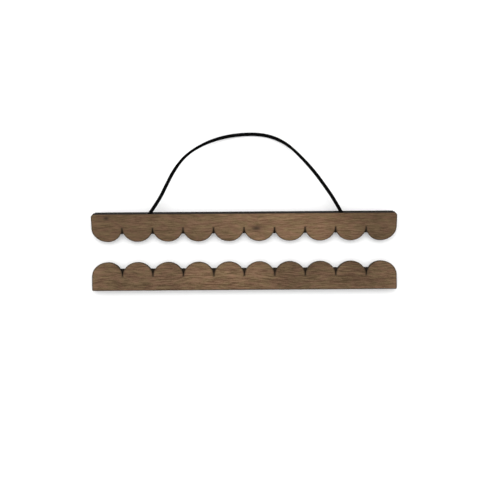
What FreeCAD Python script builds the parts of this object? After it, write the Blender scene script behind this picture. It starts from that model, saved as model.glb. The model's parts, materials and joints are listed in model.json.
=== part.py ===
import FreeCAD, Part
import math
import os

# A scalloped wooden poster hanger. Each of its two rails is a scalloped front slat and a plain back
# slat, which clamp the edge of a print between them with magnets. The upper rail has a hanging cord,
# whose ends run down between the slats, through two holes, and end in a knot behind the back slat.
#
# The hanger lies on a table, face up: +X runs along the rails, +Y towards the cord and +Z up. The
# lower rail lies flat, and the knots prop up the top edge of the upper rail. The origin is on the
# table, under the middle of the two rails. Lengths are in millimetres and angles in radians.

# Front slats
SLAT_LENGTH = 310.0
SLAT_HEIGHT = 29.1  # from the straight edge to the tips of the lobes
FRONT_THICKNESS = 5.5
LOBE_COUNT = 10
LOBE_RISE = 14.3  # from where a lobe is widest, at the bottom of its notches, to its tip
END_LOBE = 16.3  # from the end of the slat to the middle of its end lobe
KERF = 0.3  # the gap between two lobes at the bottom of their notch
CORNER_CUT = {"upper": 2.2, "lower": 0.8}  # at the ends of the straight edge
CHAMFER = 0.3  # on the outline of every slat's outer face

# Back slats
BACK_LENGTH = 305.0
BACK_HEIGHT = 22.3
BACK_THICKNESS = 3.0
BACK_CORNER = 1.5

# The rails together
PRINT_GAP = 0.2  # the room for the print between a front slat and its back slat
RAIL_GAP = 20.6  # between the lobe tips of the two rails, seen from above

# Magnets, four to a slat
MAGNET_DIAMETER = 8.0
MAGNET_THICKNESS = 2.0
MAGNET_X = (-135.0, -45.0, 45.0, 135.0)
MAGNET_GLUE = 0.05  # round the magnet and behind it, and how far its face is sunk
MAGNET_FILLET = 0.2

# Cord
CORD_DIAMETER = 2.8  # a round tube with the section area of the flat lace, 3.5 by 2.2
CORD_HOLE_X = {"left": -95.5, "right": 98.6}
HOLE_DROP = 4.0  # from the top edge of the back slat to the middle of the cord's hole
HOLE_DIAMETER = 3.6
GROOVE_DEPTH = 4.0  # in the front slat's inner face, as wide as the hole
KNOT_RADIUS = 2.7
TAIL_REACH = 9.0  # from the middle of the knot to the cut end of the cord

# The cord's route over the table, from the left groove to the right one, without its two ends
CORD_ROUTE = [
    (-85.7, 51.6, 14.6),
    (-78.2, 66.7, 15.4),
    (-69.7, 83.2, 14.4),
    (-58.0, 98.0, 11.3),
    (-40.8, 109.2, 6.4),
    (-21.6, 116.3, 2.6),
    (-2.4, 119.2, 1.6),
    (16.0, 119.3, 1.5),
    (31.9, 115.8, 1.7),
    (46.5, 107.4, 3.7),
    (59.0, 94.6, 7.9),
    (71.2, 80.3, 11.9),
    (82.8, 63.8, 14.4),
    (91.5, 50.8, 14.2),
]

# A knot is round, so it touches the table and the back slat at the same distance from the edge
# that the upper rail stands on.
RAIL_THICKNESS = BACK_THICKNESS + PRINT_GAP + FRONT_THICKNESS
STAND = BACK_HEIGHT - CHAMFER
TILT = 2 * math.atan(KNOT_RADIUS / (STAND - HOLE_DROP))
TIP_REACH = SLAT_HEIGHT * math.cos(TILT) + (RAIL_THICKNESS - CHAMFER) * math.sin(TILT)
TOP_INSET = CHAMFER * math.sin(TILT)
RAILS_DEPTH = SLAT_HEIGHT + RAIL_GAP + TIP_REACH - TOP_INSET

# Each rail is drawn with its straight edge on local y = 0 and its back face on local z = 0.
LOWER_RAIL = FreeCAD.Placement(FreeCAD.Vector(0, -RAILS_DEPTH / 2, 0), FreeCAD.Rotation())
UPPER_RAIL = FreeCAD.Placement(
    FreeCAD.Vector(0, RAILS_DEPTH / 2 + TOP_INSET, STAND * math.sin(TILT)),
    FreeCAD.Rotation(FreeCAD.Vector(1, 0, 0), math.degrees(TILT)),
)
FRONT_Z = BACK_THICKNESS + PRINT_GAP  # the front slat's inner face
GROOVE_TOP = FRONT_Z + GROOVE_DEPTH
CORD_Z = GROOVE_TOP - CORD_DIAMETER / 2 - 0.1  # the middle of the cord in its groove


def scalloped_outline(side, corner):
    """The front slat's outline, with its lobes towards local y = side * SLAT_HEIGHT. Each half of
    a lobe is a quarter of an ellipse, and a small half circle closes each notch."""
    half_length = SLAT_LENGTH / 2
    pitch = SLAT_LENGTH / LOBE_COUNT
    widest_y = SLAT_HEIGHT - LOBE_RISE
    tips = [half_length - pitch * (i + 0.5) for i in range(LOBE_COUNT)]
    tips[0] = half_length - END_LOBE
    tips[-1] = -tips[0]

    def point(x, y):
        return FreeCAD.Vector(x, side * y, 0)

    def straight(start, end):
        return Part.LineSegment(point(*start), point(*end)).toShape()

    def half_lobe(tip, edge):
        """A quarter ellipse from the tip of a lobe to its side, both given by their x."""
        ellipse = Part.Ellipse(point(edge, widest_y), point(tip, SLAT_HEIGHT), point(tip, widest_y))
        return Part.ArcOfEllipse(ellipse, 0, math.pi / 2).toShape()

    corner_x = half_length - corner
    edges = [
        straight((-corner_x, 0), (corner_x, 0)),
        straight((corner_x, 0), (half_length, corner)),
        straight((half_length, corner), (half_length, widest_y)),
        half_lobe(tips[0], half_length),
    ]
    for i in range(1, LOBE_COUNT):
        gap = half_length - pitch * i
        ends = [(gap + KERF / 2, widest_y), (gap, widest_y - KERF / 2), (gap - KERF / 2, widest_y)]
        edges += [
            half_lobe(tips[i - 1], gap + KERF / 2),
            Part.Arc(*[point(*place) for place in ends]).toShape(),
            half_lobe(tips[i], gap - KERF / 2),
        ]
    edges += [
        half_lobe(tips[-1], -half_length),
        straight((-half_length, widest_y), (-half_length, corner)),
        straight((-half_length, corner), (-corner_x, 0)),
    ]
    return Part.Wire(edges)


def chamfer_face(solid, z):
    """Chamfers the edges that lie in the plane of the slat's outer face."""
    edges = [e for e in solid.Edges if all(abs(v.Z - z) < 1e-6 for v in e.Vertexes)]
    return solid.makeChamfer(CHAMFER, edges)


def magnet_places(side):
    """The middles of a slat's magnets, halfway up the back slat."""
    return [(x, side * BACK_HEIGHT / 2) for x in MAGNET_X]


def cut_pockets(slat, side, open_z, deeper):
    """Cuts a blind pocket for each magnet from the face at open_z, towards deeper (+1 or -1)."""
    radius = MAGNET_DIAMETER / 2 + MAGNET_GLUE
    depth = MAGNET_THICKNESS + 2 * MAGNET_GLUE
    for x, y in magnet_places(side):
        start = FreeCAD.Vector(x, y, open_z)
        slat = slat.cut(Part.makeCylinder(radius, depth, start, FreeCAD.Vector(0, 0, deeper)))
    return slat


def front_slat(side, corner, hole_x):
    """A scalloped slat, with a groove in its inner face for each end of the cord."""
    solid = Part.Face(scalloped_outline(side, corner)).extrude(FreeCAD.Vector(0, 0, FRONT_THICKNESS))
    solid.translate(FreeCAD.Vector(0, 0, FRONT_Z))
    solid = chamfer_face(solid, RAIL_THICKNESS)
    for x in hole_x:
        end = FreeCAD.Vector(x, -HOLE_DROP, FRONT_Z - 1)
        start = end - FreeCAD.Vector(HOLE_DIAMETER / 2, 0, 0)
        solid = solid.cut(Part.makeBox(HOLE_DIAMETER, HOLE_DROP + 1, GROOVE_DEPTH + 1, start))
        solid = solid.cut(Part.makeCylinder(HOLE_DIAMETER / 2, GROOVE_DEPTH + 1, end))
    return cut_pockets(solid, side, FRONT_Z, 1)


def back_slat(side, hole_x):
    """A plain bar, with a hole for each end of the cord."""
    corner = FreeCAD.Vector(-BACK_LENGTH / 2, min(0, side * BACK_HEIGHT), 0)
    solid = Part.makeBox(BACK_LENGTH, BACK_HEIGHT, BACK_THICKNESS, corner)
    upright = [e for e in solid.Edges if abs(e.Vertexes[0].Z - e.Vertexes[1].Z) > 1]
    solid = chamfer_face(solid.makeFillet(BACK_CORNER, upright), 0)
    for x in hole_x:
        start = FreeCAD.Vector(x, -HOLE_DROP, -1)
        solid = solid.cut(Part.makeCylinder(HOLE_DIAMETER / 2, BACK_THICKNESS + 2, start))
    return cut_pockets(solid, side, BACK_THICKNESS, -1)


def magnets(side, low_z):
    """A slat's magnets, each a disc that starts at low_z."""
    disc = Part.makeCylinder(MAGNET_DIAMETER / 2, MAGNET_THICKNESS)
    rims = [e for e in disc.Edges if isinstance(e.Curve, Part.Circle)]
    disc = disc.makeFillet(MAGNET_FILLET, rims)
    return [disc.translated(FreeCAD.Vector(x, y, low_z)) for x, y in magnet_places(side)]


def cord_knot(x, outward):
    """The knot behind the back slat, its cut tail, and the cord in the slat's hole."""
    radius = CORD_DIAMETER / 2
    knot = FreeCAD.Vector(x, -HOLE_DROP, -KNOT_RADIUS)
    solid = Part.makeSphere(KNOT_RADIUS, knot)
    solid = solid.fuse(Part.makeCylinder(radius, TAIL_REACH, knot, FreeCAD.Vector(outward, 0, 0)))
    return solid.fuse(Part.makeCylinder(radius, KNOT_RADIUS + BACK_THICKNESS, knot))


def cord_lead(x):
    """The cord from the slat's hole round its elbow and along the groove to the slat's top edge."""
    radius = CORD_DIAMETER / 2
    hole = FreeCAD.Vector(x, -HOLE_DROP, BACK_THICKNESS)
    elbow = FreeCAD.Vector(x, -HOLE_DROP, CORD_Z)
    solid = Part.makeCylinder(radius, CORD_Z - BACK_THICKNESS, hole)
    solid = solid.fuse(Part.makeSphere(radius, elbow))
    return solid.fuse(Part.makeCylinder(radius, HOLE_DROP, elbow, FreeCAD.Vector(0, 1, 0)))


def cord_exit(x):
    """Where the middle of the cord leaves the top edge of the upper rail."""
    return UPPER_RAIL.multVec(FreeCAD.Vector(x, 0, CORD_Z))


def cord_tube(points):
    """A round tube along straight runs joined by tangent arcs, each as large as its runs allow."""
    start = points[0]
    edges = []
    radii = []
    for before, corner, after in zip(points, points[1:], points[2:]):
        back = before - corner
        ahead = after - corner
        shorter = min(back.Length, ahead.Length)
        back.normalize()
        ahead.normalize()
        half_turn = (math.pi - back.getAngle(ahead)) / 2
        radius = 0.45 * shorter / math.tan(half_turn)
        middle = back + ahead
        middle.normalize()
        inwards = radius / math.cos(half_turn) - radius
        arc_start = corner + back * 0.45 * shorter
        arc_end = corner + ahead * 0.45 * shorter
        edges.append(Part.LineSegment(start, arc_start).toShape())
        edges.append(Part.Arc(arc_start, corner + middle * inwards, arc_end).toShape())
        radii.append(radius)
        start = arc_end
    edges.append(Part.LineSegment(start, points[-1]).toShape())
    path = Part.Wire(edges)
    ring = Part.makeCircle(CORD_DIAMETER / 2, points[0], points[1] - points[0])
    tube = path.makePipeShell([Part.Wire(ring)], True, False)
    whole = path.Length * math.pi * CORD_DIAMETER**2 / 4
    print("cord: length %.1f, smallest radius %.1f" % (path.Length, min(radii)))
    print("cord: radii", " ".join("%.0f" % radius for radius in radii))
    print("cord: volume %.2f, section times length %.2f" % (tube.Volume, whole))
    return tube


def rail_parts(name, side, placement, hole_x=()):
    """The slats and magnets of one rail, by node name, where they lie."""
    parts = {
        name + "_front_slat": front_slat(side, CORNER_CUT[name], hole_x),
        name + "_back_slat": back_slat(side, hole_x),
    }
    discs = {
        "front": magnets(side, FRONT_Z + MAGNET_GLUE),
        "back": magnets(side, BACK_THICKNESS - MAGNET_GLUE - MAGNET_THICKNESS),
    }
    for slat, solids in discs.items():
        for number, solid in enumerate(solids, 1):
            parts["%s_%s_magnet_%d" % (name, slat, number)] = solid
    for solid in parts.values():
        solid.Placement = placement.multiply(solid.Placement)
    return parts


def cord_parts():
    """The hanging cord, and the lead and the knot at each of its ends, by node name, where they lie."""
    left, right = (cord_exit(CORD_HOLE_X[end]) for end in ("left", "right"))
    route = [left] + [FreeCAD.Vector(*place) for place in CORD_ROUTE] + [right]
    parts = {"hanging_cord": cord_tube(route)}
    for end, outward in (("left", -1), ("right", 1)):
        x = CORD_HOLE_X[end]
        parts["cord_lead_" + end] = cord_lead(x)
        parts["cord_knot_" + end] = cord_knot(x, outward)
        for piece in ("cord_lead_", "cord_knot_"):
            solid = parts[piece + end]
            solid.Placement = UPPER_RAIL.multiply(solid.Placement)
    return parts


def main():
    parts = rail_parts("lower", 1, LOWER_RAIL)
    parts.update(rail_parts("upper", -1, UPPER_RAIL, CORD_HOLE_X.values()))
    parts.update(cord_parts())
    os.makedirs("parts", exist_ok=True)
    for node, shape in parts.items():
        if not shape.isValid() or len(shape.Solids) != 1:
            raise ValueError(node + " is not one valid solid")
        shape.exportStep("parts/" + node + ".step")
    print("%d nodes, tilt %.2f degrees" % (len(parts), math.degrees(TILT)))
    print("cord leaves the rail at", cord_exit(CORD_HOLE_X["left"]), cord_exit(CORD_HOLE_X["right"]))


main()
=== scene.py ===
import json
import math

import bpy
from mathutils import Matrix, Vector


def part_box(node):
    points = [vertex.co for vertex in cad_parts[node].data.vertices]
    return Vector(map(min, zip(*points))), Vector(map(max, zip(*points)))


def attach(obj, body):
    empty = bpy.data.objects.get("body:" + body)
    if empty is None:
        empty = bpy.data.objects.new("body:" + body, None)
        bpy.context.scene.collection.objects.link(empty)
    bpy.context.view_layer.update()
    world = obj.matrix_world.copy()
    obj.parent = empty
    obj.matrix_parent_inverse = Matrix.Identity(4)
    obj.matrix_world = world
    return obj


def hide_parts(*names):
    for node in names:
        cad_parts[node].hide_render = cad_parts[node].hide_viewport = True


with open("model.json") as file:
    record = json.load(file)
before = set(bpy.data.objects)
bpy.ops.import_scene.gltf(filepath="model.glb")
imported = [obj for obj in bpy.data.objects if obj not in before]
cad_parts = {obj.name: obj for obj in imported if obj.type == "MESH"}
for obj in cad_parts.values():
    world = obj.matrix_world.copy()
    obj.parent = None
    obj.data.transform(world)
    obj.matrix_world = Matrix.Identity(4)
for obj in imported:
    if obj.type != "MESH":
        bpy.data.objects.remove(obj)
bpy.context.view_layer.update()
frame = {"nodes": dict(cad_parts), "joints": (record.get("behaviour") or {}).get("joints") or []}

# A scalloped walnut poster hanger, lying face up on a white table and seen from straight above.
# Shapes are in metres, and materials work in millimetres in each rail's own frame.
MM = 0.001

# Driving dimensions, as in the part's source, in millimetres
LOBE_COUNT = 10
LOBE_RISE = 14.3
END_LOBE = 16.3
KERF = 0.3
CHAMFER = 0.3
CORD_Z = 5.7
HOLE_DROP = 4.0
KNOT_RADIUS = 2.7
TAIL_REACH = 9.0

# The flat lace, in metres
LACE_WIDTH = 0.0036
LACE_THICKNESS = 0.0023

# The cord's route over the table, from the left groove to the right one, in millimetres
CORD_ROUTE = [
    (-85.7, 51.6, 14.6),
    (-78.2, 66.7, 15.4),
    (-69.7, 83.2, 14.4),
    (-58.0, 98.0, 11.3),
    (-40.8, 109.2, 6.4),
    (-21.6, 116.3, 2.6),
    (-2.4, 119.2, 1.6),
    (16.0, 119.3, 1.5),
    (31.9, 115.8, 1.7),
    (46.5, 107.4, 3.7),
    (59.0, 94.6, 7.9),
    (71.2, 80.3, 11.9),
    (82.8, 63.8, 14.4),
    (91.5, 50.8, 14.2),
]


# ---------------------------------------------------------------- the rails' own frames
front_low, front_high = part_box("lower_front_slat")
back_low, back_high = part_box("lower_back_slat")
HALF_LENGTH = (front_high.x - front_low.x) / 2
SLAT_HEIGHT = front_high.y - front_low.y
BACK_HEIGHT = back_high.y - back_low.y

# The upper rail is the lower one turned half round about Z and tilted about X, as its joint's axis says.
upper_normal = Vector(next(j["axis"] for j in frame["joints"] if j["name"] == "upper_front_off"))
TILT = math.atan2(-upper_normal.y, upper_normal.z)
stand_z = (BACK_HEIGHT - CHAMFER * MM) * math.sin(TILT)
upper_edge_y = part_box("upper_back_slat")[1].y + CHAMFER * MM * math.sin(TILT)
UPPER_PLACE = Matrix.Translation((0, upper_edge_y, stand_z)) @ Matrix.Rotation(TILT, 4, "X")
LOWER_PLACE = Matrix.Translation((0, front_low.y, 0))


def cord_hole_x(side):
    """The x of the cord's hole, from the box of the cord's lead."""
    low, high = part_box("cord_lead_" + side)
    return (low.x + high.x) / 2


def cord_exit(side):
    """Where the middle of the cord leaves the top edge of the upper rail."""
    return UPPER_PLACE @ Vector((cord_hole_x(side), 0, CORD_Z * MM))


# ---------------------------------------------------------------- camera
CAMERA_HEIGHT = 0.85
CAMERA_OVER = (-0.0042, 0.0109)
CAMERA_TURN = math.radians(-0.41)
CAMERA_LENS = 62.04


def make_camera():
    data = bpy.data.cameras.new("camera")
    data.lens = CAMERA_LENS
    camera = bpy.data.objects.new("camera", data)
    camera.location = (*CAMERA_OVER, CAMERA_HEIGHT)
    camera.rotation_euler = (0, 0, CAMERA_TURN)
    bpy.context.scene.collection.objects.link(camera)
    bpy.context.scene.camera = camera


make_camera()


# ---------------------------------------------------------------- cord
def spline_points(name, route):
    """The points of one smooth curve that has route as its control points."""
    data = bpy.data.curves.new(name, "CURVE")
    data.dimensions = "3D"
    data.resolution_u = 64
    spline = data.splines.new("NURBS")
    spline.points.add(len(route) - 1)
    for point, place in zip(spline.points, route):
        point.co = (*place, 1)
    spline.order_u = 3
    spline.use_endpoint_u = True
    curve = bpy.data.objects.new(name, data)
    mesh = bpy.data.meshes.new_from_object(curve)
    points = [v.co.copy() for v in mesh.vertices]
    bpy.data.objects.remove(curve)
    bpy.data.curves.remove(data)
    bpy.data.meshes.remove(mesh)
    return points


def evenly(points, step):
    """Points at equal steps along a line of points."""
    reach = [0.0]
    for a, b in zip(points, points[1:]):
        reach.append(reach[-1] + (b - a).length)
    count = max(2, round(reach[-1] / step))
    spaced = []
    i = 0
    for k in range(count + 1):
        target = reach[-1] * k / count
        while i < len(points) - 2 and reach[i + 1] < target:
            i += 1
        run = reach[i + 1] - reach[i]
        part = 0 if run == 0 else (target - reach[i]) / run
        spaced.append(points[i].lerp(points[i + 1], min(1, part)))
    return spaced


def along_keys(keys, t):
    """The value at t of a smooth curve through keys, which are (t, value) in order."""
    for (t0, v0), (t1, v1) in zip(keys, keys[1:]):
        if t <= t1:
            part = (t - t0) / (t1 - t0)
            return v0 + (v1 - v0) * part * part * (3 - 2 * part)
    return keys[-1][1]


BRAID_STRANDS = 8  # that run each way round the lace
BRAID_PITCH = 0.00107  # along the lace, from one strand to the next
BRAID_RELIEF = 0.00009
BRAID_SOFTNESS = 0.6  # lower is fuller, with narrower gaps between the strands
LACE_SIDES = 32
LACE_SQUARENESS = 2.6  # of its section, where 2 is an ellipse


def braid_height(around, along):
    """How far the braid stands out, from 0 to 1: each diamond is where one strand lies over another."""
    one = BRAID_STRANDS * around + along / BRAID_PITCH
    other = BRAID_STRANDS * around - along / BRAID_PITCH
    pillow = abs(math.sin(math.pi * one)) * abs(math.sin(math.pi * other))
    return pillow ** BRAID_SOFTNESS


def lace_section(angle, width, thickness):
    """A point of the lace's section, a rounded flat shape."""
    c, s = math.cos(angle), math.sin(angle)
    power = 2 / LACE_SQUARENESS
    x = math.copysign(abs(c) ** power, c) * width / 2
    z = math.copysign(abs(s) ** power, s) * thickness / 2
    return x, z


def make_lace(name, centres, flat_axis, scale_at=lambda t: (1, 1)):
    """A braided lace along centres. flat_axis(t, tangent) is the way that its width points."""
    vertices, faces, places = [], [], []
    total = len(centres) - 1
    along = 0.0
    for k, centre in enumerate(centres):
        t = k / total
        if k:
            along += (centre - centres[k - 1]).length
        tangent = (centres[min(k + 1, total)] - centres[max(k - 1, 0)]).normalized()
        across = flat_axis(t, tangent)
        across = (across - tangent * across.dot(tangent)).normalized()
        up = across.cross(tangent)
        wide, thick = scale_at(t)
        for i in range(LACE_SIDES):
            around = i / LACE_SIDES
            x, z = lace_section(2 * math.pi * around, LACE_WIDTH * wide, LACE_THICKNESS * thick)
            sink = BRAID_RELIEF * (1 - braid_height(around, along))
            length = math.hypot(x, z)
            grow = (length - sink) / length
            vertices.append(centre + (across * x + up * z) * grow)
            places.append((around, along))
    for k in range(total):
        for i in range(LACE_SIDES):
            j = (i + 1) % LACE_SIDES
            a, b = k * LACE_SIDES, (k + 1) * LACE_SIDES
            faces.append((a + i, a + j, b + j, b + i))
    faces.append(tuple(reversed(range(LACE_SIDES))))
    faces.append(tuple(range(total * LACE_SIDES, (total + 1) * LACE_SIDES)))
    mesh = bpy.data.meshes.new(name)
    mesh.from_pydata(vertices, [], faces)
    mesh.update()
    for polygon in mesh.polygons:
        polygon.use_smooth = len(polygon.vertices) == 4
    for title, part in (("around", 0), ("along", 1)):
        layer = mesh.attributes.new(title, "FLOAT", "POINT")
        layer.data.foreach_set("value", [place[part] for place in places])
    lace = bpy.data.objects.new(name, mesh)
    bpy.context.scene.collection.objects.link(lace)
    return lace


# The lace leaves the slats flat and leans over twice, nearly onto its edge, once on either side of
# the top of its loop: how far it is turned over, in degrees, along its length
LACE_TURN = [(0, 0), (0.14, 8), (0.24, 58), (0.28, 68), (0.32, 60), (0.38, 38), (0.455, 6)]
LACE_TURN += [(0.565, 18), (0.62, 34), (0.66, 48), (0.7, 62), (0.745, 50), (0.83, 6), (1, 0)]
TUCKED = 0.001  # how far the lace goes on into the groove
STEP = 0.00025  # between the lace's sections


def cord_axis(t, tangent):
    level = tangent.cross(Vector((0, 0, 1))).normalized()
    return Matrix.Rotation(math.radians(along_keys(LACE_TURN, t)), 3, tangent) @ level


def make_cord():
    left, right = cord_exit("left"), cord_exit("right")
    route = [Vector(place) * MM for place in CORD_ROUTE]
    start = left - (route[0] - left).normalized() * TUCKED
    end = right - (route[-1] - right).normalized() * TUCKED
    centres = evenly(spline_points("cord_line", [start, *route, end]), STEP)
    lace = make_lace("hanging_lace", centres, cord_axis)
    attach(lace, "upper_back")
    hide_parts("hanging_cord")
    return lace, centres, left


# ---------------------------------------------------------------- knots
KNOT_RING = 1.26  # the middle of the strand's winding round the knot's core, in millimetres
KNOT_SWAY = 0.64  # how far it swings in and out from there
KNOT_DEPTH = 1.35  # its swing along the knot's axis, as a multiple of that
KNOT_POINTS = 15
KNOT_START = 55  # degrees round the knot
KNOT_STEP = 42


def knot_route(outward):
    """The lace from the slat's top edge to its cut end, in the rail's frame, in millimetres: down the
    groove, through the hole, about one and a half turns round as a knot, and out sideways."""
    route = [Vector((0, -0.4, CORD_Z)), Vector((0, -1.9, CORD_Z)), Vector((0, -3.4, CORD_Z - 0.4))]
    route += [Vector((0, -HOLE_DROP, 3.4)), Vector((0.1, -HOLE_DROP, 0.4))]
    route.append(Vector((0.9, -HOLE_DROP, -0.9)))
    for k in range(KNOT_POINTS):
        t = math.radians(KNOT_START + KNOT_STEP * k)
        ring = KNOT_RING + KNOT_SWAY * math.cos(1.5 * t)
        x = ring * math.sin(t)
        z = ring * math.cos(t) - KNOT_RADIUS
        y = KNOT_DEPTH * KNOT_SWAY * math.sin(1.5 * t) - HOLE_DROP
        route.append(Vector((x, y, z)))
    route.append(Vector((3.4, -HOLE_DROP + 0.2, -KNOT_RADIUS - 0.6)))
    route.append(Vector((6.0, -HOLE_DROP, -KNOT_RADIUS - 0.2)))
    route.append(Vector((TAIL_REACH - 0.1, -HOLE_DROP, -KNOT_RADIUS)))
    return [Vector((point.x * outward, point.y, point.z)) for point in route]


# The lace is drawn together where it is knotted, and sealed at its cut end: its width and thickness
# along its length, as multiples of the free lace's
KNOT_WIDE = [(0, 0.95), (0.12, 0.8), (0.2, 0.62), (0.8, 0.62), (0.9, 0.85), (0.985, 0.92), (1, 0.7)]
KNOT_THICK = [(0, 1), (0.2, 0.72), (0.8, 0.72), (0.9, 1), (0.985, 0.95), (1, 0.45)]
AXIS_MIX = [(0, 0), (0.14, 0), (0.26, 1), (1, 1)]  # its width turns from along the rail to across it


def knot_scale(t):
    return along_keys(KNOT_WIDE, t), along_keys(KNOT_THICK, t)


def make_knot(side, outward):
    hole = cord_hole_x(side)
    to_frame = UPPER_PLACE @ Matrix.Translation((hole, 0, 0))
    route = [to_frame @ (point * MM) for point in knot_route(outward)]
    centres = evenly(spline_points("knot_line", route), STEP)
    along_rail = Vector((1, 0, 0))
    across_slat = (to_frame.to_3x3() @ Vector((0, 1, 0))).normalized()

    def axis(t, tangent):
        part = along_keys(AXIS_MIX, t)
        return along_rail * (1 - part) + across_slat * part

    knot = make_lace("lace_knot_" + side, centres, axis, knot_scale)
    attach(knot, "upper_back")
    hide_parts("cord_lead_" + side, "cord_knot_" + side)
    return knot


cord, cord_centres, cord_start = make_cord()
knots = [make_knot("left", -1), make_knot("right", 1)]


# ---------------------------------------------------------------- material nodes
def add(tree, kind, inputs=None, **settings):
    """A shader node of this kind. Each input is a value, or another node's output to link."""
    node = tree.nodes.new("ShaderNode" + kind)
    for name, value in settings.items():
        setattr(node, name, value)
    for name, value in (inputs or {}).items():
        if isinstance(value, bpy.types.NodeSocket):
            tree.links.new(value, node.inputs[name])
        else:
            node.inputs[name].default_value = value
    return node


def calc(tree, operation, *values, clamp=False):
    """The output of a Math node."""
    node = add(tree, "Math", dict(enumerate(values)), operation=operation, use_clamp=clamp)
    return node.outputs[0]


def fade(tree, value, start, end):
    """0 below start and 1 above end, smoothly."""
    inputs = {"Value": value, "From Min": start, "From Max": end}
    return add(tree, "MapRange", inputs, interpolation_type="SMOOTHSTEP").outputs["Result"]


def point(tree, x, y, z=0.0):
    return add(tree, "CombineXYZ", {"X": x, "Y": y, "Z": z}).outputs[0]


def noise(tree, place, scale=1.0, detail=2.0, roughness=0.5):
    inputs = {"Vector": place, "Scale": scale, "Detail": detail, "Roughness": roughness}
    return add(tree, "TexNoise", inputs).outputs["Fac"]


def mix(tree, amount, one, other, blend="MIX"):
    """Two colours mixed by amount."""
    node = add(tree, "Mix", data_type="RGBA", blend_type=blend)
    for name, value in (("Factor_Float", amount), ("A_Color", one), ("B_Color", other)):
        socket = next(s for s in node.inputs if s.identifier == name)
        if isinstance(value, bpy.types.NodeSocket):
            tree.links.new(value, socket)
        else:
            socket.default_value = value
    return next(s for s in node.outputs if s.identifier == "Result_Color")


def new_material(name):
    material = bpy.data.materials.new(name)
    material.use_nodes = True
    tree = material.node_tree
    tree.nodes.clear()
    shader = add(tree, "BsdfPrincipled")
    output = add(tree, "OutputMaterial")
    tree.links.new(shader.outputs[0], output.inputs["Surface"])
    return material, tree, shader


def colour(red, green, blue):
    return (red, green, blue, 1)


# ---------------------------------------------------------------- walnut
FRONT_LIGHT = colour(0.244, 0.153, 0.087)
FRONT_DARK = colour(0.084, 0.0475, 0.024)
# The back slats' colours are walnut darkened far below the wood's own colour by painted shade, standing in
# for the deep shade in the front slats' notches
BACK_LIGHT_WITH_SHADE = colour(0.034, 0.023, 0.0145)
BACK_DARK_WITH_SHADE = colour(0.0155, 0.01, 0.006)
PORE_BROWN = colour(0.030, 0.018, 0.010)
KNOT_BROWN = colour(0.035, 0.022, 0.014)
SHADE = colour(0, 0, 0)
ROSE = colour(1.04, 0.98, 1.02)
OLIVE = colour(0.97, 1.015, 0.955)
CHAR = colour(0.0060, 0.0038, 0.0030)
CHAR_WORN = colour(0.0125, 0.0080, 0.0062)
SCORCH = colour(0.040, 0.026, 0.014)

# The grain's layers: the length and width of their marks in millimetres, their noise's detail and
# roughness, and how much they count
BANDS = ((160, 3.4), 3, 0.62, 0.85)
DASHES = ((9.0, 0.8), 2, 0.6, 2.1)
FIBRE = ((16, 0.3), 2, 0.7, 1.3)
BROAD = ((24, 16), 1, 0.5, 0.45)
SPECKLE = ((0.8, 0.8), 1, 0.5, 0.6)

DRIFT_SIZE = (62, 30)  # of the rings' slow wander
DRIFT_REACH = 10.0
PORE_SIZE = (2.2, 0.2)
PATCH_SIZE = (9, 4)
SEED_SHIFT = 97.0  # along the grain, for each 1 in the seed
PATCH_SEED = 5
BACK_SEED = 2.9
RIM_WIDTH = 1.55  # from the outline to where the scorched rim has faded out
RIM_STRENGTH = 0.76


def rail_place(tree, matrix, side):
    """Object coordinates turned into a rail's own frame, in millimetres: along the rail, up from its
    straight edge towards the lobes, and out of its back face."""
    place = matrix.inverted()
    inputs = {
        "Vector": add(tree, "TexCoord").outputs["Object"],
        "Location": place.translation / MM,
        "Rotation": place.to_euler(),
        "Scale": (1 / MM, 1 / MM, 1 / MM),
    }
    split = add(tree, "SeparateXYZ", {"Vector": add(tree, "Mapping", inputs).outputs[0]})
    x, y, z = split.outputs
    return x, calc(tree, "MULTIPLY", y, side), z


def edge_distance(tree, x, height, with_straight_edge):
    """How far inside a front slat's outline a place is, in millimetres."""
    half = HALF_LENGTH / MM
    top = SLAT_HEIGHT / MM
    pitch = 2 * half / LOBE_COUNT
    from_end = calc(tree, "SUBTRACT", half, calc(tree, "ABSOLUTE", x))
    in_end = calc(tree, "LESS_THAN", from_end, pitch)
    in_outer = calc(tree, "LESS_THAN", from_end, END_LOBE)

    # The tip of the lobe that the place is in, and how far it is to the lobe's edge at its widest
    middle_reach = (pitch - KERF) / 2
    inner_reach = pitch - END_LOBE - KERF / 2
    tip = calc(tree, "MULTIPLY_ADD", in_end, END_LOBE - pitch / 2, pitch / 2)
    reach = calc(tree, "MULTIPLY_ADD", in_end, inner_reach - middle_reach, middle_reach)
    reach = calc(tree, "MULTIPLY_ADD", in_outer, END_LOBE - inner_reach, reach)
    from_tip = calc(tree, "SUBTRACT", calc(tree, "WRAP", from_end, pitch, 0.0), tip)
    across = calc(tree, "DIVIDE", from_tip, reach)
    above_widest = calc(tree, "MAXIMUM", calc(tree, "SUBTRACT", height, top - LOBE_RISE), 0.0)
    up = calc(tree, "DIVIDE", above_widest, LOBE_RISE)
    part = calc(tree, "SQRT", calc(tree, "ADD", calc(tree, "POWER", across, 2), calc(tree, "POWER", up, 2)))
    lobe = calc(tree, "MULTIPLY", calc(tree, "SUBTRACT", 1, part), LOBE_RISE)
    lobe = calc(tree, "MAXIMUM", lobe, calc(tree, "SUBTRACT", top - LOBE_RISE, height))
    inside = calc(tree, "MINIMUM", lobe, from_end)
    return calc(tree, "MINIMUM", inside, height) if with_straight_edge else inside


def knot_field(tree, x, height, middle, reach):
    """1 at a knot in the wood, falling to 0 round it, and how far above its middle a place is."""
    across = calc(tree, "DIVIDE", calc(tree, "SUBTRACT", x, middle[0]), reach[0])
    up = calc(tree, "DIVIDE", calc(tree, "SUBTRACT", height, middle[1]), reach[1])
    square = calc(tree, "ADD", calc(tree, "POWER", across, 2), calc(tree, "POWER", up, 2))
    return calc(tree, "EXPONENT", calc(tree, "MULTIPLY", square, -1)), up


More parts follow.
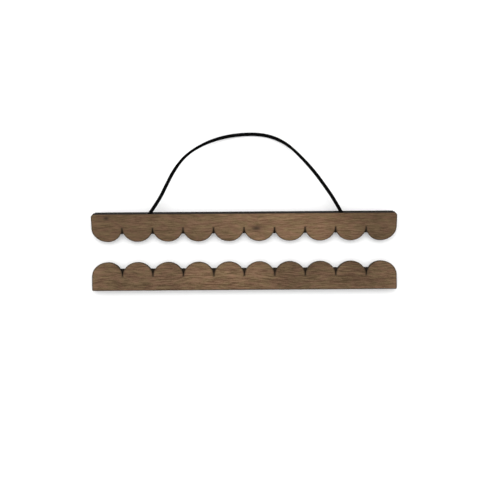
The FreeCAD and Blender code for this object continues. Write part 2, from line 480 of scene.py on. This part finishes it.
def marks(tree, along, across, seed, size, detail, roughness=0.5):
    """Noise from 0 to 1, in marks of this length and width."""
    x = calc(tree, "DIVIDE", along, size[0])
    y = calc(tree, "DIVIDE", across, size[1])
    return noise(tree, point(tree, x, y, seed), 1, detail, roughness)


def growth_rings(tree, x, height, shifted, seed, slope, knots_in_wood):
    """The rings run along the slat, wander slowly and bend round the knots. Gives each place's height
    among them and how much it is stained by a knot."""
    drift = marks(tree, shifted, height, seed, DRIFT_SIZE, 2)
    ring = calc(tree, "MULTIPLY_ADD", calc(tree, "SUBTRACT", drift, 0.5), DRIFT_REACH, height)
    ring = calc(tree, "MULTIPLY_ADD", x, slope, ring)
    stain = 0.0
    for middle, reach, push, darkness in knots_in_wood:
        near, up = knot_field(tree, x, height, middle, reach)
        ring = calc(tree, "MULTIPLY_ADD", calc(tree, "MULTIPLY", near, up), push, ring)
        core, _ = knot_field(tree, x, height, middle, (reach[0] * 0.34, reach[1] * 0.4))
        stain = calc(tree, "MULTIPLY_ADD", core, darkness, stain)
    return ring, stain


def grain_shade(tree, shifted, ring, height, seed, contrast):
    """How light the grain is, from 0 to 1, and its fibre alone."""
    total = 0.0
    for layer in (BANDS, DASHES, FIBRE, BROAD, SPECKLE):
        size, detail, roughness, weight = layer
        across = height if layer is SPECKLE else ring
        field = marks(tree, shifted, across, seed, size, detail, roughness)
        total = calc(tree, "MULTIPLY_ADD", calc(tree, "SUBTRACT", field, 0.5), weight, total)
        if layer is FIBRE:
            fibre = field
    return calc(tree, "MULTIPLY_ADD", total, contrast, 0.5, clamp=True), fibre


def darker_places(tree, x, dark_colour_and_shade):
    """How much darker the slat is in places along its length: partly the wood's own colour and partly
    painted shade for the light falling off along the rail.
    """
    darker = 0.0
    for middle, reach, amount in dark_colour_and_shade:
        away = calc(tree, "DIVIDE", calc(tree, "SUBTRACT", x, middle), reach)
        here = calc(tree, "EXPONENT", calc(tree, "MULTIPLY", calc(tree, "POWER", away, 2), -1))
        darker = calc(tree, "MULTIPLY_ADD", here, amount, darker)
    return calc(tree, "ADD", darker, 0.0, clamp=True)


def facing_out(tree, matrix):
    """How squarely a place faces out of its rail's front or back: 1 on the faces, 0 on the sides."""
    turn = add(tree, "VectorRotate", rotation_type="X_AXIS")
    turn.inputs["Angle"].default_value = -matrix.to_euler().x
    tree.links.new(add(tree, "TexCoord").outputs["Normal"], turn.inputs["Vector"])
    split = add(tree, "SeparateXYZ", {"Vector": turn.outputs[0]})
    return calc(tree, "ABSOLUTE", split.outputs["Z"])


def make_walnut(
    name, matrix, side, seed, light, dark, contrast=1.0, dark_colour_and_shade=(), slope=0.0, knots_in_wood=(), outlined=""
):
    """Walnut veneer with laser-charred edges. seed moves the grain and slope turns it a little.
    The darker places are partly the wood's own colour and partly painted shade for the light falling off
    along the rail: their x, how far they reach and how much darker they are.
    outlined says which edges of the face are scorched: "lobes and ends", "all round" or none."""
    material, tree, shader = new_material(name)
    x, height, z = rail_place(tree, matrix, side)
    shifted = calc(tree, "ADD", x, seed * SEED_SHIFT)
    ring, stain = growth_rings(tree, x, height, shifted, seed, slope, knots_in_wood)
    shade, fibre = grain_shade(tree, shifted, ring, height, seed, contrast)
    pores = fade(tree, marks(tree, shifted, ring, seed, PORE_SIZE, 1), 0.60, 0.72)
    wood = mix(tree, shade, dark, light)
    wood = mix(tree, calc(tree, "MULTIPLY", pores, 0.5), wood, PORE_BROWN)

    # Small patches lean towards rose or olive.
    patches = fade(tree, marks(tree, shifted, ring, seed + PATCH_SEED, PATCH_SIZE, 2), 0.38, 0.62)
    wood = mix(tree, 1.0, wood, mix(tree, patches, OLIVE, ROSE), blend="MULTIPLY")
    # Darker places: partly the wood's own colour and partly painted shade for the light falling off along
    # the rail
    wood = mix(tree, darker_places(tree, x, dark_colour_and_shade), wood, SHADE)
    wood = mix(tree, stain, wood, KNOT_BROWN)

    # Laser cutting leaves a brown rim on the face and chars the sides, with fine upright lines.
    if outlined:
        inside = edge_distance(tree, x, height, outlined == "all round")
        rim = calc(tree, "SUBTRACT", 1, fade(tree, inside, CHAMFER, RIM_WIDTH))
        wood = mix(tree, calc(tree, "MULTIPLY", rim, RIM_STRENGTH), wood, SCORCH)
    facing = facing_out(tree, matrix)
    wall = calc(tree, "SUBTRACT", 1, fade(tree, facing, 0.3, 0.66))
    slope_face = calc(tree, "SUBTRACT", 1, fade(tree, facing, 0.72, 0.97))
    fine_x = calc(tree, "MULTIPLY", x, 2.6)
    fine_height = calc(tree, "MULTIPLY", height, 2.6)
    upright_lines = noise(tree, point(tree, fine_x, fine_height, calc(tree, "DIVIDE", z, 9)), 1, 2)
    char = mix(tree, upright_lines, CHAR, CHAR_WORN)
    wood = mix(tree, calc(tree, "MULTIPLY", slope_face, 0.8), wood, SCORCH)
    wood = mix(tree, wall, wood, char)
    tree.links.new(wood, shader.inputs["Base Color"])

    rough = calc(tree, "MULTIPLY_ADD", shade, -0.12, 0.66)
    rough = calc(tree, "MULTIPLY_ADD", wall, 0.2, rough)
    tree.links.new(rough, shader.inputs["Roughness"])
    shader.inputs["Specular IOR Level"].default_value = 0.08
    relief = calc(tree, "MULTIPLY_ADD", pores, -0.6, calc(tree, "MULTIPLY", fibre, 0.5))
    relief = calc(tree, "MULTIPLY_ADD", calc(tree, "MULTIPLY", upright_lines, wall), 1.4, relief)
    bump = add(tree, "Bump", {"Height": relief, "Strength": 0.35, "Distance": 0.06 * MM})
    tree.links.new(bump.outputs[0], shader.inputs["Normal"])
    return material


# ---------------------------------------------------------------- other materials
YARNS = 4  # in each strand of the braid
LACE_BLACK = colour(0.0006, 0.0006, 0.0007)
# The lighter black is a painted sheen on the yarns' crests
LACE_PAINTED_SHEEN = colour(0.0030, 0.0030, 0.0029)
NICKEL_DULL = colour(0.60, 0.58, 0.55)
NICKEL_BRIGHT = colour(0.78, 0.76, 0.73)
TABLE_WHITE = colour(0.93, 0.93, 0.93)


def make_lace_material():
    """Black braid: each strand is a bundle of fine yarns, with a little painted sheen along the yarns'
    crests.
    """
    material, tree, shader = new_material("braided_lace")
    around = add(tree, "Attribute", attribute_name="around").outputs["Fac"]
    along = add(tree, "Attribute", attribute_name="along").outputs["Fac"]
    steps = calc(tree, "DIVIDE", along, BRAID_PITCH)
    turns = calc(tree, "MULTIPLY", around, BRAID_STRANDS)
    one = calc(tree, "ADD", turns, steps)
    other = calc(tree, "SUBTRACT", turns, steps)
    parity = calc(tree, "ADD", calc(tree, "FLOOR", one), calc(tree, "FLOOR", other))
    parity = calc(tree, "FLOORED_MODULO", parity, 2)
    others = calc(tree, "MULTIPLY", other, calc(tree, "SUBTRACT", 1, parity))
    running = calc(tree, "ADD", calc(tree, "MULTIPLY", one, parity), others)
    yarn = calc(tree, "SINE", calc(tree, "MULTIPLY", running, 2 * math.pi * YARNS))
    yarn = calc(tree, "MULTIPLY_ADD", yarn, 0.5, 0.5)
    fuzz = noise(tree, add(tree, "TexCoord").outputs["Object"], 5000, 2)
    # Painted sheen: the yarns' crests are made a little lighter, as if they caught the light
    painted_sheen = calc(tree, "MULTIPLY", yarn, fuzz)
    black = mix(tree, painted_sheen, LACE_BLACK, LACE_PAINTED_SHEEN)
    tree.links.new(black, shader.inputs["Base Color"])
    tree.links.new(calc(tree, "MULTIPLY_ADD", fuzz, 0.2, 0.7), shader.inputs["Roughness"])
    shader.inputs["Specular IOR Level"].default_value = 0.03
    bump = add(tree, "Bump", {"Height": yarn, "Strength": 0.6, "Distance": 0.03 * MM})
    tree.links.new(bump.outputs[0], shader.inputs["Normal"])
    return material


def make_nickel():
    """Nickel plate with fine handling scratches."""
    material, tree, shader = new_material("magnet_nickel")
    place = add(tree, "TexCoord").outputs["Object"]
    cloud = noise(tree, place, 300, 3)
    squeezed = add(tree, "Mapping", {"Vector": place, "Scale": (400, 9000, 4000), "Rotation": (0, 0, 0.5)})
    scratch = fade(tree, noise(tree, squeezed.outputs[0], 1, 2), 0.55, 0.75)
    plate = mix(tree, cloud, NICKEL_DULL, NICKEL_BRIGHT)
    tree.links.new(plate, shader.inputs["Base Color"])
    shader.inputs["Metallic"].default_value = 1.0
    rough = calc(tree, "MULTIPLY_ADD", cloud, 0.16, 0.14)
    tree.links.new(calc(tree, "MULTIPLY_ADD", scratch, 0.15, rough), shader.inputs["Roughness"])
    bump = add(tree, "Bump", {"Height": scratch, "Strength": 0.2, "Distance": 0.01 * MM})
    tree.links.new(bump.outputs[0], shader.inputs["Normal"])
    return material


def finish_with(obj, material):
    obj.data.materials.clear()
    obj.data.materials.append(material)


# What sets the two rails' wood apart. A knot is its middle, its reach, how far it pushes the rings
# aside and how dark it is.
# Their darker places are partly the wood's own colour and partly painted shade for the light falling off
# along the rail.
UPPER_LOOK = {
    "contrast": 0.82,
    "dark_colour_and_shade": [(-110, 85, 0.35), (-30, 30, 0.1), (-150, 25, 0.06), (140, 32, 0.42), (100, 30, 0.1)],
    "slope": -0.02,
    "knots_in_wood": [((-139.4, 4.0), (9.0, 4.6), 3.0, 1.0), ((12.6, 15.4), (14.0, 6.5), 8.0, 0.9)],
    "outlined": "lobes and ends",
}
LOWER_LOOK = {
    "contrast": 1.1,
    "dark_colour_and_shade": [
        (-112, 32, 0.24), (-150, 45, 0.22), (-72, 22, 0.26), (-15, 40, 0.14), (55, 38, 0.4), (125, 42, 0.4)
    ],
    "slope": 0.01,
    "knots_in_wood": [((-138.0, 17.0), (14.0, 8.0), 3.0, 0.0)],
    "outlined": "all round",
}


def dress_rail(rail, place, side, seed, look):
    front = make_walnut("walnut_front_" + rail, place, side, seed, FRONT_LIGHT, FRONT_DARK, **look)
    # The back slats' finish is dark walnut with painted shade
    back = make_walnut("walnut_back_painted_shade_" + rail, place, side, seed + BACK_SEED, BACK_LIGHT_WITH_SHADE, BACK_DARK_WITH_SHADE)
    finish_with(frame["nodes"][rail + "_front_slat"], front)
    finish_with(frame["nodes"][rail + "_back_slat"], back)


dress_rail("upper", UPPER_PLACE, -1, 1.3, UPPER_LOOK)
dress_rail("lower", LOWER_PLACE, 1, 4.7, LOWER_LOOK)
nickel = make_nickel()
for title, node in frame["nodes"].items():
    if "magnet" in title:
        finish_with(node, nickel)
lace_finish = make_lace_material()
for piece in (cord, *knots):
    finish_with(piece, lace_finish)


# ---------------------------------------------------------------- table and light
FLOOR_SIZE = 6.0
FLOOR_DROP = 0.00005  # keeps the floor off the faces that rest on it
SKY_STRENGTH = 1.17
SOFTBOX_PLACE = Vector((-0.1, 1.0, 1.5))
SOFTBOX_WIDTH = 1.6
SOFTBOX_POWER = 12.6


def make_floor():
    half = FLOOR_SIZE / 2
    mesh = bpy.data.meshes.new("floor")
    outline = ((-half, -half), (half, -half), (half, half), (-half, half))
    corners = [(x, y, -FLOOR_DROP) for x, y in outline]
    mesh.from_pydata(corners, [], [(0, 1, 2, 3)])
    floor = bpy.data.objects.new("floor", mesh)
    bpy.context.scene.collection.objects.link(floor)
    material, _, shader = new_material("white_table")
    shader.inputs["Base Color"].default_value = TABLE_WHITE
    shader.inputs["Roughness"].default_value = 0.8
    shader.inputs["Specular IOR Level"].default_value = 0.1
    finish_with(floor, material)


def make_light():
    world = bpy.data.worlds.new("studio")
    world.use_nodes = True
    background = world.node_tree.nodes["Background"]
    background.inputs["Color"].default_value = colour(1, 1, 1)
    background.inputs["Strength"].default_value = SKY_STRENGTH
    bpy.context.scene.world = world
    data = bpy.data.lights.new("softbox", "AREA")
    data.shape = "DISK"
    data.size = SOFTBOX_WIDTH
    data.energy = SOFTBOX_POWER
    softbox = bpy.data.objects.new("softbox", data)
    softbox.location = SOFTBOX_PLACE
    softbox.rotation_euler = (-SOFTBOX_PLACE).to_track_quat("-Z", "Y").to_euler()
    softbox.visible_camera = False
    bpy.context.scene.collection.objects.link(softbox)


make_floor()
make_light()
bpy.context.scene.view_settings.view_transform = "Standard"
